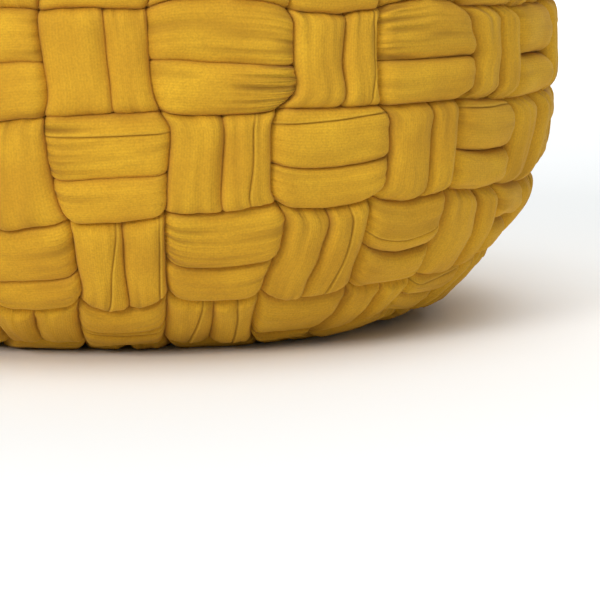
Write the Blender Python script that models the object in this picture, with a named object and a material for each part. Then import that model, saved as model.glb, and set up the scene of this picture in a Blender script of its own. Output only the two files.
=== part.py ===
"""Woven footstool: one stuffed round body in a basket weave of paired fabric tubes.

The weave is a closed one: pairs of stuffed tubes run round the side as rings, and two
sets of upright pairs run over the top, down the side and under the base.  It has the
same layout as a cube with seven pairs along each edge, laid on a round body.  Every
crossing is raised as two ribs, those of the pair that lies on top there, and the ribs'
ends dip under the pairs beside them.  All sizes are in metres, +Z is up, and the origin
is at the middle of the base.
"""
import math
import random

import bmesh
import bpy
from mathutils import Vector

# Driving dimensions
WIDTH = 0.540          # across the bulge of the side
HEIGHT = 0.350         # from the floor to the crown
EQUATOR = 0.176        # height of the widest part of the side
FOOT_DEPTH = 0.195     # how far below the equator the side would close without a floor
SQUARENESS = 3.0       # exponent of the side's bulge: 2 is an ellipse, more is squarer
BASE_PRESS = 0.008     # how much of the base the floor presses flat
FLOOR_EDGE = 30.0      # how sharply the side turns into the flat base
PAIRS = 7              # pairs of tubes along each edge of the weave

# Heights of the ring lines between the rows of the side, from the lowest one up
RING_LINES = (0.007, 0.038, 0.088, 0.142, 0.195, 0.248, 0.296, 0.325)

# The top's and the base's outline dips at the cube's corners, in columns from them
CORNER_DRAW = (0.024, 0.008)

# Relief of one crossing: where its points lie and how deep they are below the crest
STEPS = 4
ACROSS_PLACES = (0.0, 0.22, 0.5, 0.78, 1.0)     # shares of the pair's width
ALONG_PLACES = (0.0, 0.24, 0.5, 0.76, 1.0)      # shares of the crossing's length
CREASE_DEPTH = 0.012
CORNER_DEPTH = 0.015
SPLIT_DEPTH = 0.0075   # the valley between a pair's two tubes
BASE_SPLIT_DEPTH = 0.0045
SHOULDER_DEPTH = 0.002  # how far the ribs have dropped near their ends

# How unevenly the hand-made weave lies
SEED = 11
SIDE_WANDER = 0.0030
RISE_WANDER = 0.0016
FACE_WANDER = 0.0022
RIM_EASE = 0.35        # share of the wander that is left where the side meets top and base
SETTLING_ROUNDS = 80

# Places where the weave strays from its even layout on the front and right of the side.
# Columns count from the left edge of the front, and lines from the lowest one.
STRAYS_MM = (
    # column, line, along the ring, up
    (3, 4, -11, 0), (4, 4, -17, 1), (5, 4, 1, 0), (6, 4, 1, 0), (7, 4, 1, 0), (8, 4, 0, -1),
    (3, 3, -9, -3), (4, 3, -9, 0), (5, 3, -2, 0), (6, 3, 2, 0), (7, 3, 4, 1), (8, 3, -1, -2), (9, 3, 4, 1),
    (3, 2, 2, -6), (4, 2, -4, -2), (5, 2, 0, 2), (6, 2, -1, 3), (7, 2, 2, 3), (8, 2, -4, 1), (9, 2, 0, -3),
    (3, 1, 3, -4), (4, 1, 0, 0), (5, 1, 0, -1), (6, 1, 5, -1), (7, 1, 3, 0), (8, 1, 14, 2), (9, 1, 8, 8), (10, 1, 4, 8),
    (3, 0, 2, -2), (4, 0, 3, -3), (5, 0, 14, -2), (6, 0, 3, -3),
)

MILLIMETRE = 0.001
RADIUS = WIDTH / 2
CENTRE = Vector((0.0, 0.0, EQUATOR))
COLUMNS = 4 * PAIRS


def clear_scene():
    for item in list(bpy.data.objects):
        bpy.data.objects.remove(item, do_unlink=True)


def on_skin(direction):
    """The point of the smooth stuffed shape that lies in a direction from its centre."""
    way = direction.normalized()
    reach_out = math.hypot(way.x, way.y) / RADIUS
    half_height = HEIGHT - EQUATOR if way.z > 0 else FOOT_DEPTH
    reach_up = abs(way.z) / half_height
    reach = (reach_out ** SQUARENESS + reach_up ** SQUARENESS) ** (-1 / SQUARENESS)
    if way.z < 0:
        floor_reach = (EQUATOR + BASE_PRESS) / -way.z
        reach = (reach ** -FLOOR_EDGE + floor_reach ** -FLOOR_EDGE) ** (-1 / FLOOR_EDGE)
    return CENTRE + way * reach


def skin_radius(height):
    """How far from the axis the side is at a height above the floor."""
    half_height = HEIGHT - EQUATOR if height > EQUATOR else FOOT_DEPTH
    share = abs(height - EQUATOR) / half_height
    return RADIUS * (1 - share ** SQUARENESS) ** (1 / SQUARENESS)


def column_of(i, j):
    """Columns from the left edge of the front to a corner point on the side's outline."""
    if j == 0:
        return i
    if i == PAIRS:
        return PAIRS + j
    if j == PAIRS:
        return 3 * PAIRS - i
    return 4 * PAIRS - j


def side_point(column, line, stray):
    """A corner of the weave on the side, from its column, its ring line and its stray."""
    height = RING_LINES[line] + stray[1]
    from_corner = min(column % PAIRS, -column % PAIRS)
    if line in (0, PAIRS) and from_corner < len(CORNER_DRAW):
        height += CORNER_DRAW[from_corner] if line == 0 else -CORNER_DRAW[from_corner]
    radius = skin_radius(height)
    turn = 2 * math.pi * (column - PAIRS / 2) / COLUMNS + stray[0] / radius
    out = Vector((radius * math.sin(turn), -radius * math.cos(turn), height))
    return on_skin(out - CENTRE)


def weave_corners():
    """Corner points of all crossings, keyed by their place on the seven-pair cube."""
    wander = random.Random(SEED)
    known = {(column, line): (along * MILLIMETRE, up * MILLIMETRE)
             for column, line, along, up in STRAYS_MM}
    corners = {}
    for line in range(PAIRS + 1):
        for i in range(PAIRS + 1):
            for j in range(PAIRS + 1):
                if i not in (0, PAIRS) and j not in (0, PAIRS):
                    continue
                ease = RIM_EASE if line in (0, PAIRS) else 1.0
                chance = (ease * wander.gauss(0, SIDE_WANDER), ease * wander.gauss(0, RISE_WANDER))
                column = column_of(i, j)
                corners[i, j, line] = side_point(column, line, known.get((column, line), chance))
    for line in (0, PAIRS):
        add_face_corners(corners, line, wander)
    return corners


def add_face_corners(corners, line, wander):
    """Corner points inside the top or the base, each settled between its neighbours."""
    inner = [(i, j) for i in range(1, PAIRS) for j in range(1, PAIRS)]
    middle = on_skin(Vector((0, 0, line - PAIRS / 2)))
    for i, j in inner:
        corners[i, j, line] = middle
    for _ in range(SETTLING_ROUNDS):
        for i, j in inner:
            around = ((i - 1, j), (i + 1, j), (i, j - 1), (i, j + 1))
            total = sum((corners[a, b, line] for a, b in around), Vector())
            corners[i, j, line] = on_skin(total / 4 - CENTRE)
    for i, j in inner:
        aside = Vector((wander.gauss(0, FACE_WANDER), wander.gauss(0, FACE_WANDER), 0))
        corners[i, j, line] = on_skin(corners[i, j, line] + aside - CENTRE)


def top_axis(face_axis, cell):
    """The axis along which the pair that lies on top of a crossing runs."""
    i, j, k = cell
    if face_axis == 2:
        return 0 if (i + j) % 2 == 0 else 1
    if face_axis == 0:
        return 2 if (k + j) % 2 == 1 else 1
    return 2 if (k + i) % 2 == 0 else 0


def crossing_relief(along, across, split_depth):
    """Depth of a point of a crossing below its crest, from its two step numbers."""
    on_side = across in (0, STEPS)
    on_end = along in (0, STEPS)
    if on_side and on_end:
        return CORNER_DEPTH
    if on_side or on_end:
        return CREASE_DEPTH
    depth = split_depth if across == STEPS // 2 else 0.0
    if along != STEPS // 2:
        depth += SHOULDER_DEPTH
    return depth


def surface_place(grid, corners):
    """Place of a grid point on the skin, and its depth, from its step numbers on the cube."""
    full = STEPS * PAIRS
    face_axis = next(axis for axis in (2, 0, 1) if grid[axis] in (0, full))
    flat_axes = [axis for axis in range(3) if axis != face_axis]
    cell = [min(step // STEPS, PAIRS - 1) for step in grid]
    cell[face_axis] = grid[face_axis] // STEPS
    inside = [grid[axis] - STEPS * cell[axis] for axis in range(3)]
    along_axis = top_axis(face_axis, cell)
    across_axis = next(axis for axis in flat_axes if axis != along_axis)
    share = [0.0, 0.0, 0.0]
    share[along_axis] = ALONG_PLACES[inside[along_axis]]
    share[across_axis] = ACROSS_PLACES[inside[across_axis]]
    place = Vector()
    for first in (0, 1):
        for second in (0, 1):
            corner = list(cell)
            corner[flat_axes[0]] += first
            corner[flat_axes[1]] += second
            weight = share[flat_axes[0]] if first else 1 - share[flat_axes[0]]
            weight *= share[flat_axes[1]] if second else 1 - share[flat_axes[1]]
            place += weight * corners[tuple(corner)]
    on_base = face_axis == 2 and cell[2] == 0
    split_depth = BASE_SPLIT_DEPTH if on_base else SPLIT_DEPTH
    depth = crossing_relief(inside[along_axis], inside[across_axis], split_depth)
    return on_skin(place - CENTRE), depth


def make_body():
    """The stuffed body: a gridded cube laid on the round shape, then pressed in at its creases."""
    corners = weave_corners()
    body = bmesh.new()
    bmesh.ops.create_cube(body, size=2.0)
    bmesh.ops.subdivide_edges(body, edges=body.edges[:], cuts=STEPS * PAIRS - 1, use_grid_fill=True)
    depths = {}
    for vert in body.verts:
        grid = [round((value + 1) / 2 * STEPS * PAIRS) for value in vert.co]
        vert.co, depths[vert] = surface_place(grid, corners)
    body.normal_update()
    for vert in body.verts:
        vert.co -= vert.normal * depths[vert]
        vert.co.z = max(vert.co.z, 0.0)
    bmesh.ops.recalc_face_normals(body, faces=body.faces[:])
    mesh = bpy.data.meshes.new("woven_body")
    body.to_mesh(mesh)
    body.free()
    return mesh


def jersey_material():
    """Mustard cotton jersey: matt, soft and slightly warm in its shade."""
    cloth = bpy.data.materials.new("mustard_cotton_jersey")
    cloth.use_nodes = True
    shader = cloth.node_tree.nodes["Principled BSDF"]
    shader.inputs["Base Color"].default_value = (0.720, 0.395, 0.030, 1.0)
    shader.inputs["Roughness"].default_value = 0.9
    shader.inputs["Metallic"].default_value = 0.0
    return cloth


def main():
    clear_scene()
    stool = bpy.data.objects.new("woven_body", make_body())
    stool.data.materials.append(jersey_material())
    bpy.context.scene.collection.objects.link(stool)


main()
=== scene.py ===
# %% [markdown]
# # A woven footstool
#
# This floor pouf is made from long tubes of cotton jersey.  Each tube is stuffed, and then
# the tubes are woven in pairs, two over two, into a closed round body.  One could paint the
# weave on a ball as a bump, but then the outline would stay smooth and every crease would be
# flat.  Here each tube is a real closed loop that goes over and under the others, so the
# creases are where soft shapes meet.

# %% Load the frame
import math
import random

import bmesh
import bpy
import numpy as np
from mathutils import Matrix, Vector


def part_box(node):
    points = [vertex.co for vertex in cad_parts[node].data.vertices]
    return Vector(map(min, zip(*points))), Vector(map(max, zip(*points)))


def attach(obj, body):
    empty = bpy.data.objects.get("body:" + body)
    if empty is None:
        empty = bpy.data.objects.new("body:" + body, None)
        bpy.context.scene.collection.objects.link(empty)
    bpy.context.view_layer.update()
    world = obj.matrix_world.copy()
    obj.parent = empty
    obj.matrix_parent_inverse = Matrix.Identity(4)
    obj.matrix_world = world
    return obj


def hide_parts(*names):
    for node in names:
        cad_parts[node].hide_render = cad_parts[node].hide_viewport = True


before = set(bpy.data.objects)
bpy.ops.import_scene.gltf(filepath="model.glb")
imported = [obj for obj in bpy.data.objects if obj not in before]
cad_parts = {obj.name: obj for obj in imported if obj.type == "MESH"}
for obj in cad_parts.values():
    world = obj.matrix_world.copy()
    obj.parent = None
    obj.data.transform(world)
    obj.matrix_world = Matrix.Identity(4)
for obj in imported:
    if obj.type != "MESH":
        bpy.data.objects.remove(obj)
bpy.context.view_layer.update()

low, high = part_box("woven_body")
MILLIMETRE = 0.001
RADIUS = (high[0] - low[0]) / 2
HEIGHT = high[2]
print(f"the solid is {2000 * RADIUS:.0f} mm across and {1000 * HEIGHT:.0f} mm high")

# %% [markdown]
# ## The camera
#
# The photograph is a close one of the stool's lower right.  A long lens far away gives its
# calm perspective.  The camera looks slightly down and to the right of the stool's axis, so
# that no shift is needed to bring the side and the foot into the frame.

# %% Place the camera
EQUATOR = 0.176          # height of the widest part of the side
CAMERA_DISTANCE = 1.519
CAMERA_HEIGHT = EQUATOR + 0.0545
CAMERA_TURN = math.radians(1.1)
LOOK_RIGHT = math.radians(4.14)
LOOK_DOWN = math.radians(8.53)
LENS_MM = 143.7
SENSOR_MM = 36.0
CLIP_END = 20.0


def place_camera():
    camera = bpy.data.objects.new("camera", bpy.data.cameras.new("camera"))
    camera.data.lens = LENS_MM
    camera.data.sensor_width = SENSOR_MM
    camera.data.clip_end = CLIP_END
    camera.location = (
        CAMERA_DISTANCE * math.sin(CAMERA_TURN),
        -CAMERA_DISTANCE * math.cos(CAMERA_TURN),
        CAMERA_HEIGHT,
    )
    camera.rotation_euler = (math.pi / 2 - LOOK_DOWN, 0.0, CAMERA_TURN - LOOK_RIGHT)
    bpy.context.scene.collection.objects.link(camera)
    bpy.context.scene.camera = camera
    return camera


camera = place_camera()
print("camera at", [round(value, 3) for value in camera.location])

# %% [markdown]
# ## The stuffed shape
#
# A stuffed stool is rounder than a drum and squarer than a ball.  A superellipse has one
# number for that, its exponent: 2 is an ellipse, and more is squarer.  The floor presses the
# base flat, which a second, very square curve does.  Every point of the weave is put on this
# skin along a line from the middle of the stool.

# %% The skin that the weave lies on
FOOT_DEPTH = 0.195       # how far below its widest part the side would close without a floor
SQUARENESS = 3.0
BASE_PRESS = 0.008       # how much of the base the floor presses flat
FLOOR_EDGE = 30.0        # how sharply the side turns into the flat base
LEAST_DOWN = 1e-6        # stands in for a zero where a line from the middle doesn't run down
CENTRE = np.array((0.0, 0.0, EQUATOR))


def on_skin(points):
    """Move points onto the smooth stuffed shape, along lines from its centre."""
    way = np.asarray(points, dtype=float) - CENTRE
    way = way / np.linalg.norm(way, axis=-1, keepdims=True)
    reach_out = np.hypot(way[..., 0], way[..., 1]) / RADIUS
    half_height = np.where(way[..., 2] > 0, HEIGHT - EQUATOR, FOOT_DEPTH)
    reach_up = np.abs(way[..., 2]) / half_height
    reach = (reach_out ** SQUARENESS + reach_up ** SQUARENESS) ** (-1 / SQUARENESS)
    down = np.maximum(-way[..., 2], LEAST_DOWN)
    floor_reach = (EQUATOR + BASE_PRESS) / down
    reach = (reach ** -FLOOR_EDGE + floor_reach ** -FLOOR_EDGE) ** (-1 / FLOOR_EDGE)
    return CENTRE + way * reach[..., None]


def skin_radius(height):
    """How far from the axis the side is at a height above the floor."""
    half_height = HEIGHT - EQUATOR if height > EQUATOR else FOOT_DEPTH
    share = abs(height - EQUATOR) / half_height
    return RADIUS * (1 - share ** SQUARENESS) ** (1 / SQUARENESS)


print(f"the side is {1000 * skin_radius(0.088):.0f} mm from the axis at 88 mm up")

# %% [markdown]
# ## Where the pairs cross
#
# A weave that closes on itself needs a layout with no loose ends.  A cube has one: seven
# pairs cross seven pairs on each of its six faces, and every pair is a loop round four faces.
# The corners of the crossings are kept under their place on that cube, and each corner is
# then put on the skin.  Hand-made weaves wander, so the corners on the front and right follow
# a short table of strays, and the others wander by chance from a fixed seed.

# %% The corners of the weave
PAIRS = 7
COLUMNS = 4 * PAIRS
RING_LINES = (0.007, 0.038, 0.088, 0.142, 0.195, 0.248, 0.296, 0.325)
SEED = 11
TOP_DRAW = (0.024, 0.008)     # how far the top's outline dips at the cube's corners
BASE_DRAW = (0.010, 0.003)    # and the base's outline rises, in columns from them
SIDE_WANDER = 0.0030          # how far a corner wanders along its ring
RISE_WANDER = 0.0016          # and up
FACE_WANDER = 0.0022          # and on the top and the base
RIM_EASE = 0.35               # share of it that is left where the side meets top and base
SETTLING_ROUNDS = 80          # rounds in which the corners of top and base settle evenly

# Strays in millimetres of the corners that the photograph shows on the front and right
STRAYS_MM = (
    # column, line, along the ring, up
    (3, 4, -11, 0), (4, 4, -14, 1), (5, 4, 4, 0), (6, 4, 1, 0), (7, 4, 1, 0), (8, 4, 0, -1),
    (3, 3, -9, -3), (4, 3, -7, 0), (5, 3, -2, 0), (6, 3, 2, 0), (7, 3, 4, 1), (8, 3, -1, -2),
    (9, 3, 4, 1),
    (3, 2, 2, -6), (4, 2, -4, -2), (5, 2, 0, 2), (6, 2, -1, 3), (7, 2, 2, 3), (8, 2, -4, 1),
    (9, 2, 0, -3),
    (3, 1, 3, -4), (4, 1, 0, 0), (5, 1, 0, -1), (6, 1, 5, -1), (7, 1, 3, 0), (8, 1, 14, 2),
    (9, 1, 8, 8), (10, 1, 4, 8),
    (3, 0, 2, -2), (4, 0, 3, -3), (5, 0, 14, -2), (6, 0, 3, -3),
)


def column_of(i, j):
    """Columns from the left edge of the front to a place on the side's outline."""
    if j == 0:
        return i
    if i == PAIRS:
        return PAIRS + j
    if j == PAIRS:
        return 3 * PAIRS - i
    return 4 * PAIRS - j


def side_point(column, line, stray):
    """A corner of the weave on the side, from its column, its ring line and its stray."""
    height = RING_LINES[line] + stray[1]
    from_corner = min(column % PAIRS, -column % PAIRS)
    if line in (0, PAIRS) and from_corner < len(TOP_DRAW):
        height += BASE_DRAW[from_corner] if line == 0 else -TOP_DRAW[from_corner]
    radius = skin_radius(height)
    turn = 2 * math.pi * (column - PAIRS / 2) / COLUMNS + stray[0] / radius
    return on_skin((radius * math.sin(turn), -radius * math.cos(turn), height))


def weave_corners():
    """Corner points of all crossings, keyed by their place on the seven-pair cube."""
    wander = random.Random(SEED)
    known = {(column, line): (along * MILLIMETRE, up * MILLIMETRE)
             for column, line, along, up in STRAYS_MM}
    found = {}
    for line in range(PAIRS + 1):
        for i in range(PAIRS + 1):
            for j in range(PAIRS + 1):
                if i not in (0, PAIRS) and j not in (0, PAIRS):
                    continue
                ease = RIM_EASE if line in (0, PAIRS) else 1.0
                chance = (ease * wander.gauss(0, SIDE_WANDER), ease * wander.gauss(0, RISE_WANDER))
                column = column_of(i, j)
                found[i, j, line] = side_point(column, line, known.get((column, line), chance))
    for line in (0, PAIRS):
        add_face_corners(found, line, wander)
    return found


def add_face_corners(found, line, wander):
    """Corner points inside the top or the base, each settled between its neighbours."""
    inner = [(i, j) for i in range(1, PAIRS) for j in range(1, PAIRS)]
    middle = on_skin(CENTRE + np.array((0, 0, line - PAIRS / 2)))
    for i, j in inner:
        found[i, j, line] = middle
    for _ in range(SETTLING_ROUNDS):
        for i, j in inner:
            around = ((i - 1, j), (i + 1, j), (i, j - 1), (i, j + 1))
            found[i, j, line] = on_skin(sum(found[a, b, line] for a, b in around) / 4)
    for i, j in inner:
        aside = np.array((wander.gauss(0, FACE_WANDER), wander.gauss(0, FACE_WANDER), 0))
        found[i, j, line] = on_skin(found[i, j, line] + aside)


corners = weave_corners()
print(len(corners), "corners of the weave")

# %% [markdown]
# ## Loops round the cube
#
# Each pair lies between two lines of corners.  A line is a loop of 28 corners round four
# faces of the cube.  Straight stretches would make every crossing a plain four-sided patch.
# Here each stretch has seven more points that bow aside, as the edges of the photograph's
# crossings do.  Two tables give the bows that it shows, and the others come from a fixed
# seed.  A smooth curve then runs through all 224 points of a line.

# %% The lines between the pairs
# Offsets from the straight line at a quarter, a half and three quarters of each stretch
UPRIGHT_BOWS_MM = (
    # column, row from the base, then along the ring, from the lower end up
    (3, 3, 3, 1.5, 0), (4, 3, -3, -2.5, -1.3), (5, 3, 8.2, 5.5, 3.8), (6, 3, -4, -5, -4),
    (7, 3, 14, 20, 14), (8, 3, 8, 9, 8), (9, 3, 6, 6, 6),
    (3, 2, -3, -3, -2), (4, 2, 1.7, 3.4, 5), (5, 2, -5, -5, -5), (6, 2, 10, 10, 8),
    (7, 2, 0, -1, -2), (8, 2, 10, 12, 10), (9, 2, 9, 12, 9),
    (3, 1, 3, 2, 2), (4, 1, -1, -1, -1), (5, 1, 1, 5, 6), (6, 1, -1, 0, 0), (7, 1, 2, 3, 1),
    (8, 1, 4, 8, 6),
    (3, 0, -3, -3, -2), (4, 0, 0, 0, 0), (5, 0, -3, -3, -2), (6, 0, 3, 4, 3),
)
RING_BOWS_MM = (
    # column, line, then upwards, from the left end on
    (2, 4, 1, 1, 1), (3, 4, 1, 1, 0), (4, 4, 5, 6, 5), (5, 4, -2, -3, -1), (6, 4, 3, 5, 4),
    (7, 4, 0, 0, 0),
    (2, 3, -2, -3, -1), (3, 3, 0, 0, 0), (4, 3, -2, -2, -2), (5, 3, 0, 0, 0), (6, 3, 0, 0, 0),
    (7, 3, 0, 0, 0), (8, 3, -1, -1, -1),
    (2, 2, -11, -9.5, -5), (3, 2, -2, -3, -2), (4, 2, -2, -3, -1), (5, 2, -4, -5, -4),
    (6, 2, -4, -5, -3), (7, 2, -1, -2, -1), (8, 2, 0, 0, 0),
    (2, 1, -16, -14, -9), (3, 1, -12, -14, -12), (4, 1, -7, -7, -6), (5, 1, -8, -10, -8),
    (6, 1, -1, -1, -1), (7, 1, -3, -4, -3),
)
BOW_WANDER = 0.0022
STRETCH_KNOTS = 8        # parts that a stretch's inner points cut it into
KNEES_AT = (0, 0.125, 0.25, 0.5, 0.75, 0.875, 1)   # where along a stretch an offset is given
UPRIGHT_KNEE = 0.88      # share of the offset at a quarter that a line has at an eighth
RING_KNEE = 0.62         # the same for ring lines, which leave their corners more softly
LOOP = 4 * PAIRS
AXES_ROUND = {0: (1, 2), 1: (0, 2), 2: (0, 1)}   # the two axes that a line's loop goes round
JUST_INSIDE = 0.02       # a stretch is looked up a little way in from its two ends
TOUCHING = 0.01          # places on the cube that are this close are on the same line
UP = np.array((0, 0, 1))


def loop_place(axis, line, step):
    """Place on the cube of a loop's step, which need not be a whole number."""
    first, second = AXES_ROUND[axis]
    side, far = divmod(step % LOOP, PAIRS)
    place = [0, 0, 0]
    place[axis] = line
    place[first] = (far, PAIRS, PAIRS - far, 0)[int(side)]
    place[second] = (PAIRS, PAIRS - far, 0, far)[int(side)]
    return tuple(place)


def around_ring(point):
    """The level direction along the ring at a point."""
    way = np.array((-point[1], point[0], 0.0))
    return way / np.linalg.norm(way)


def known_bows(axis, line, step):
    """The table's three offsets for a stretch, in the loop's order, or nothing."""
    ends = [loop_place(axis, line, step + part) for part in (JUST_INSIDE, 1 - JUST_INSIDE)]
    start, end = ((column_of(i, j), k) for i, j, k in ends)
    on_side = all(TOUCHING < k < PAIRS - TOUCHING for _, k in (start, end))
    if on_side and abs(start[0] - end[0]) < TOUCHING:
        bows = upright_bows.get((round(start[0]), math.floor(min(start[1], end[1]))))
        return bows if bows is None or end[1] > start[1] else bows[::-1]
    if axis == 2:
        bows = ring_bows.get((math.floor(min(start[0], end[0])), line))
        return bows if bows is None or end[0] > start[0] else bows[::-1]
    return None


def stretch_knots(axis, line, step, wander):
    """The inner points of one stretch of a line, bowed aside."""
    before = corners[loop_place(axis, line, step)]
    after = corners[loop_place(axis, line, step + 1)]
    stretch = (after - before) / np.linalg.norm(after - before)
    chance = wander.gauss(0, BOW_WANDER)
    bows = known_bows(axis, line, step)
    knots = []
    for share in np.arange(1, STRETCH_KNOTS) / STRETCH_KNOTS:
        point = before + (after - before) * share
        if bows is None:
            outward = (point - CENTRE) / np.linalg.norm(point - CENTRE)
            aside = np.cross(outward, stretch) * chance * math.sin(math.pi * share)
        else:
            first, middle, last = bows
            knee = RING_KNEE if axis == 2 else UPRIGHT_KNEE
            offsets = (0, knee * first, first, middle, last, knee * last, 0)
            way = UP if axis == 2 else around_ring(point)
            aside = way * np.interp(share, KNEES_AT, offsets) * MILLIMETRE
        knots.append(on_skin(point + aside))
    return knots


def shared_stretch(start, end):
    """The points of the stretch between two neighbouring corners, from start to end."""
    if (start, end) in stretches:
        inner = stretches[start, end]
    else:
        inner = stretches[end, start][::-1]
    return [corners[start], *inner, corners[end]]


def line_knots(axis, line, wander):
    """All points of one line: corners, each followed by the inner points of its stretch."""
    knots = []
    for step in range(LOOP):
        start, end = loop_place(axis, line, step), loop_place(axis, line, step + 1)
        if (start, end) not in stretches and (end, start) not in stretches:
            stretches[start, end] = stretch_knots(axis, line, step, wander)
        knots.extend(shared_stretch(start, end)[:-1])
    return np.array(knots)


def smooth_between(before, start, end, after, share):
    """A value between start and end, on a smooth curve through all four."""
    return 0.5 * (
        2 * start
        + (end - before) * share
        + (2 * before - 5 * start + 4 * end - after) * share ** 2
        + (3 * start - before - 3 * end + after) * share ** 3
    )


def smooth_loop(knots, places):
    """Values of a smooth closed curve through evenly spaced knots, at places from 0 to LOOP."""
    scaled = places * len(knots) / LOOP
    index = np.floor(scaled).astype(int)
    share = (scaled - index).reshape((-1,) + (1,) * (knots.ndim - 1))
    return smooth_between(*(knots[(index + shift) % len(knots)] for shift in (-1, 0, 1, 2)), share)


def all_lines():
    wander = random.Random(SEED + 1)
    return {(axis, line): line_knots(axis, line, wander)
            for axis in range(3) for line in range(PAIRS + 1)}


upright_bows = {(column, row): bows for column, row, *bows in UPRIGHT_BOWS_MM}
ring_bows = {(column, line): bows for column, line, *bows in RING_BOWS_MM}
stretches = {}           # inner points of each stretch, which both directions of the weave share
lines = all_lines()
print(len(lines), "lines with", len(lines[0, 0]), "points each")

# %% [markdown]
# ## Which pair is on top
#
# In a plain weave the pair on top changes at every crossing, along both pairs.  On a closed
# cube that works out only if each face starts the right way.  One function answers it for a
# crossing, and a pair's phase says whether its first crossing is over or under.

# %% Over and under


def top_axis(face_axis, cell):
    """The axis along which the pair that lies on top of a crossing runs."""
    i, j, k = cell
    if face_axis == 2:
        return 0 if (i + j) % 2 == 0 else 1
    if face_axis == 0:
        return 2 if (k + j) % 2 == 1 else 1
    return 2 if (k + i) % 2 == 0 else 0


def pair_phase(axis, pair):
    """1 if a pair's first crossing lies on top, and -1 if it lies under."""
    first, second = AXES_ROUND[axis]
    cell = [0, 0, 0]
    cell[axis] = pair
    cell[first] = 0
    cell[second] = PAIRS
    return 1 if top_axis(second, cell) == first else -1


print("phases of the rings, from the lowest:", [pair_phase(2, pair) for pair in range(PAIRS)])

# %% [markdown]
# ## Crossings that the photograph shows
#
# The tables below name a crossing by its column and row on the front or right, and give
# values at its start, middle and end.  A pair's values are needed in the order of its own
# loop, which may run the other way.  So one function finds a crossing in a loop, and another
# turns a table's rows round where they need it.

# %% Find a crossing in a pair's loop
HALF_STEPS = 2 * LOOP    # a pair's values are kept for the start and middle of each step
SAME_PLACE = 1e-6        # allows for rounding


def seen_step(axis, pair, column, row):
    """Where a crossing on the front or right lies in a pair's loop, if the pair is on top there.

    Gives the loop's step, and whether the loop runs against the table's direction along
    and across the pair.
    """
    i, j = (column, 0) if column < PAIRS else (PAIRS, column - PAIRS)
    face_axis = 1 if column < PAIRS else 0
    cell = [i, j, row]
    run_axis = top_axis(face_axis, cell)
    cross_axis = 3 - face_axis - run_axis
    if axis != cross_axis or pair != cell[axis]:
        return None
    for step in range(LOOP):
        here = loop_place(axis, pair, step + 0.5)
        wanted = [float(value) for value in cell]
        wanted[run_axis] += 0.5
        if all(abs(a - b) < SAME_PLACE for a, b in zip(here, wanted)):
            ahead = loop_place(axis, pair, step + 0.75)
            forward = ahead[run_axis] > here[run_axis]
            if run_axis == 2:
                return step, forward, False
            return step, not forward, True
    return None


def table_rows(table, axis, pair):
    """A table's rows for the crossings where a pair is on top, in the order of its loop.

    Gives where the crossing starts in the pair's values, whether the loop runs against the
    table's direction across the pair, and the row's values.
    """
    for column, row, *values in table:
        place = seen_step(axis, pair, column, row)
        if place is not None:
            step, turned_along, turned_across = place
            if turned_along:
                values[-3:] = values[:-4:-1]
            yield 2 * step, turned_across, values


def lay_over(knots, first, values):
    """Put values in place of those that a loop has, from the first place on."""
    for offset, value in enumerate(values):
        knots[(first + offset) % HALF_STEPS] = value


print("the crossing in column 4, row 3 lies at step", seen_step(2, 3, 4, 3))

# %% [markdown]
# ## How a pair shares its width
#
# The two tubes of a pair are never quite equal, and the crease between them leans.  A table
# gives the crease's place for the crossings that the photograph shows, as shares of the
# pair's width from the left or from the top.  Elsewhere it wanders a little around the
# middle.  A second table says where the two tubes lie a little apart.

# %% The crease between the two tubes
SPLITS = (
    # column, row from the base, start, middle, end
    (2, 3, 0.49, 0.48, 0.48), (3, 3, 0.60, 0.61, 0.60), (4, 3, 0.50, 0.56, 0.56),
    (5, 3, 0.59, 0.58, 0.59), (6, 3, 0.54, 0.58, 0.55), (7, 3, 0.60, 0.52, 0.58),
    (8, 3, 0.53, 0.54, 0.57),
    (2, 2, 0.50, 0.46, 0.42), (3, 2, 0.58, 0.57, 0.59), (4, 2, 0.52, 0.515, 0.52),
    (5, 2, 0.56, 0.58, 0.54), (6, 2, 0.60, 0.58, 0.62), (7, 2, 0.55, 0.57, 0.56),
    (8, 2, 0.64, 0.55, 0.58),
    (2, 1, 0.61, 0.60, 0.62), (3, 1, 0.55, 0.54, 0.56), (4, 1, 0.56, 0.58, 0.55),
    (5, 1, 0.53, 0.49, 0.48), (6, 1, 0.51, 0.62, 0.58), (7, 1, 0.60, 0.66, 0.64),
    (2, 0, 0.48, 0.46, 0.45), (3, 0, 0.52, 0.54, 0.54), (4, 0, 0.53, 0.55, 0.53),
    (5, 0, 0.84, 0.86, 0.84), (6, 0, 0.52, 0.58, 0.62),
)
SPLIT_WANDER = 0.035

# Where a pair's two tubes lie apart, as shares of its width on either side of the crease
PARTINGS = (
    # column, row from the base, start, middle, end
    (8, 2, 0.005, 0.022, 0.036), (6, 1, 0.000, 0.010, 0.030), (8, 1, 0.010, 0.020, 0.020),
    (7, 0, 0.020, 0.030, 0.020), (8, 0, 0.020, 0.030, 0.020),
)


def split_knots(axis, pair, wander):
    """Shares of a pair's width at which its tubes part, round its loop."""
    knots = np.array([0.5 + wander.gauss(0, SPLIT_WANDER) for _ in range(HALF_STEPS)])
    for first, turned, shares in table_rows(SPLITS, axis, pair):
        lay_over(knots, first, [1 - share if turned else share for share in shares])
    return knots


def parting_knots(axis, pair):
    """How far apart a pair's two tubes lie, round its loop."""
    knots = np.zeros(HALF_STEPS)
    for first, _, gaps in table_rows(PARTINGS, axis, pair):
        lay_over(knots, first, gaps)
    return knots


print(f"{len(SPLITS)} creases placed, and {len(PARTINGS)} pairs lie a little apart")

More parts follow.
